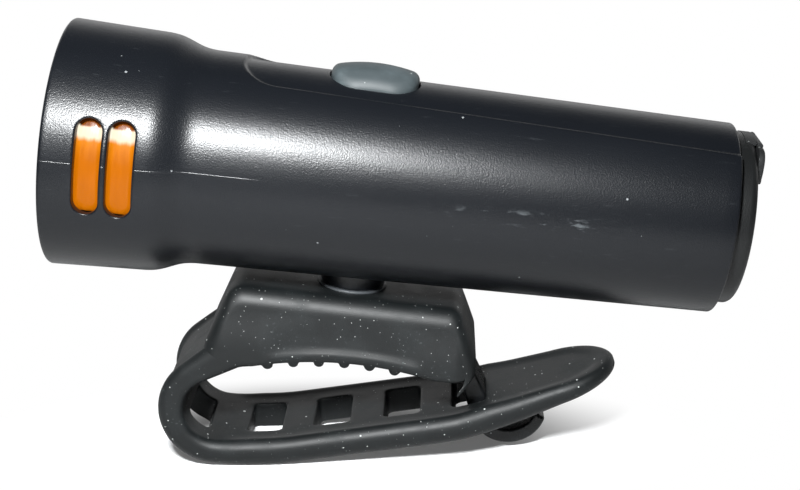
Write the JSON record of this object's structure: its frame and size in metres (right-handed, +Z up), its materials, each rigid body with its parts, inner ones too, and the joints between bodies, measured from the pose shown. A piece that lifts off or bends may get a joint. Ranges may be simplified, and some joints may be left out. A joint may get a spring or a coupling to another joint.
{
  "type": "bicycle headlight",
  "caption": "Rechargeable torch-shaped bicycle headlight with amber side windows and a silicone handlebar strap that hooks closed, on a swivel foot.",
  "frame": {"origin": "middle of the space that clasps the handlebar, on the swivel axis, 32 mm below the lamp's axis", "axes": "+X along the lamp towards its rear end, so the beam points to -X; +Y across the bike, along the handlebar; +Z up"},
  "size_m": [0.1011, 0.036, 0.0629],
  "materials": {
    "housing": "satin black moulded plastic with a fine grain",
    "bezel": "satin",
    "lens": "clear and polished",
    "seal_rubber": "matte",
    "reflector": "vacuum-coated",
    "amber_window": "clear amber",
    "led_phosphor": "smooth silicone dome",
    "white_plastic": "moulded",
    "led_board": "white solder mask on aluminium",
    "heat_sink": "turned",
    "lead_insulation": "smooth",
    "carrier_plastic": "moulded",
    "cell_can": "shrink-wrapped cell",
    "foam": "open foam",
    "nickel": "bright strip",
    "circuit_board": "green solder mask",
    "chip_plastic": "moulded",
    "steel_shell": "drawn and plated",
    "cap_plastic": "moulded",
    "cover_rubber": "matte",
    "brass": "knurled insert",
    "screw_steel": "zinc plated",
    "button_rubber": "smooth grey",
    "strap_rubber": "matte silicone",
    "hook_plastic": "moulded"
  },
  "bodies": {
    "mount": {"saddle": "strap_rubber", "mount_plate": "carrier_plastic", "swivel_washer": "screw_steel", "strap_hook": "hook_plastic", "strap_bend": "strap_rubber"},
    "strap": {"strap_band": "strap_rubber"},
    "lamp": {"housing": "housing", "front_bezel": "bezel", "front_lens": "lens", "lens_seal": "seal_rubber", "reflector": "reflector", "side_window_left": "amber_window", "side_window_right": "amber_window", "led_emitter": "led_phosphor", "led_gasket": "white_plastic", "led_board": "led_board", "heat_sink": "heat_sink", "led_leads": "lead_insulation", "cell_carrier": "carrier_plastic", "battery_cell": "cell_can", "foam_pads": "foam", "battery_tabs": "nickel", "main_board": "circuit_board", "board_chips": "chip_plastic", "charge_leds": "white_plastic", "tact_switch": "chip_plastic", "usb_socket": "steel_shell", "rear_cap": "cap_plastic", "rear_seal": "seal_rubber", "cover_anchor": "cover_rubber", "brass_insert": "brass", "swivel_screw": "screw_steel"},
    "button": {"switch_button": "button_rubber", "switch_stem": "white_plastic"},
    "port_flap": {"port_cover": "cover_rubber"}
  },
  "joints": [
    {"name": "swivel", "type": "hinge", "parent": "mount", "child": "lamp", "pos_m": [0, 0, 0.0155], "axis": [0, 0, 1], "range_deg": [-30, 30]},
    {"name": "strap_open", "type": "hinge", "parent": "mount", "child": "strap", "pos_m": [-0.0241, 0, -0.0068], "axis": [0, 1, 0], "range_deg": [0, 65], "stiffness_Nm_per_rad": 0.03, "deforming": ["strap_bend", "strap_band"]},
    {"name": "switch_press", "type": "slide", "parent": "lamp", "child": "button", "axis": [0, 0, -1], "range_m": [0, 0.0005], "stiffness_N_per_m": 400},
    {"name": "cover_open", "type": "hinge", "parent": "lamp", "child": "port_flap", "pos_m": [0.05585, 0, 0.04382], "axis": [0, -1, 0], "range_deg": [0, 110]}
  ]
}
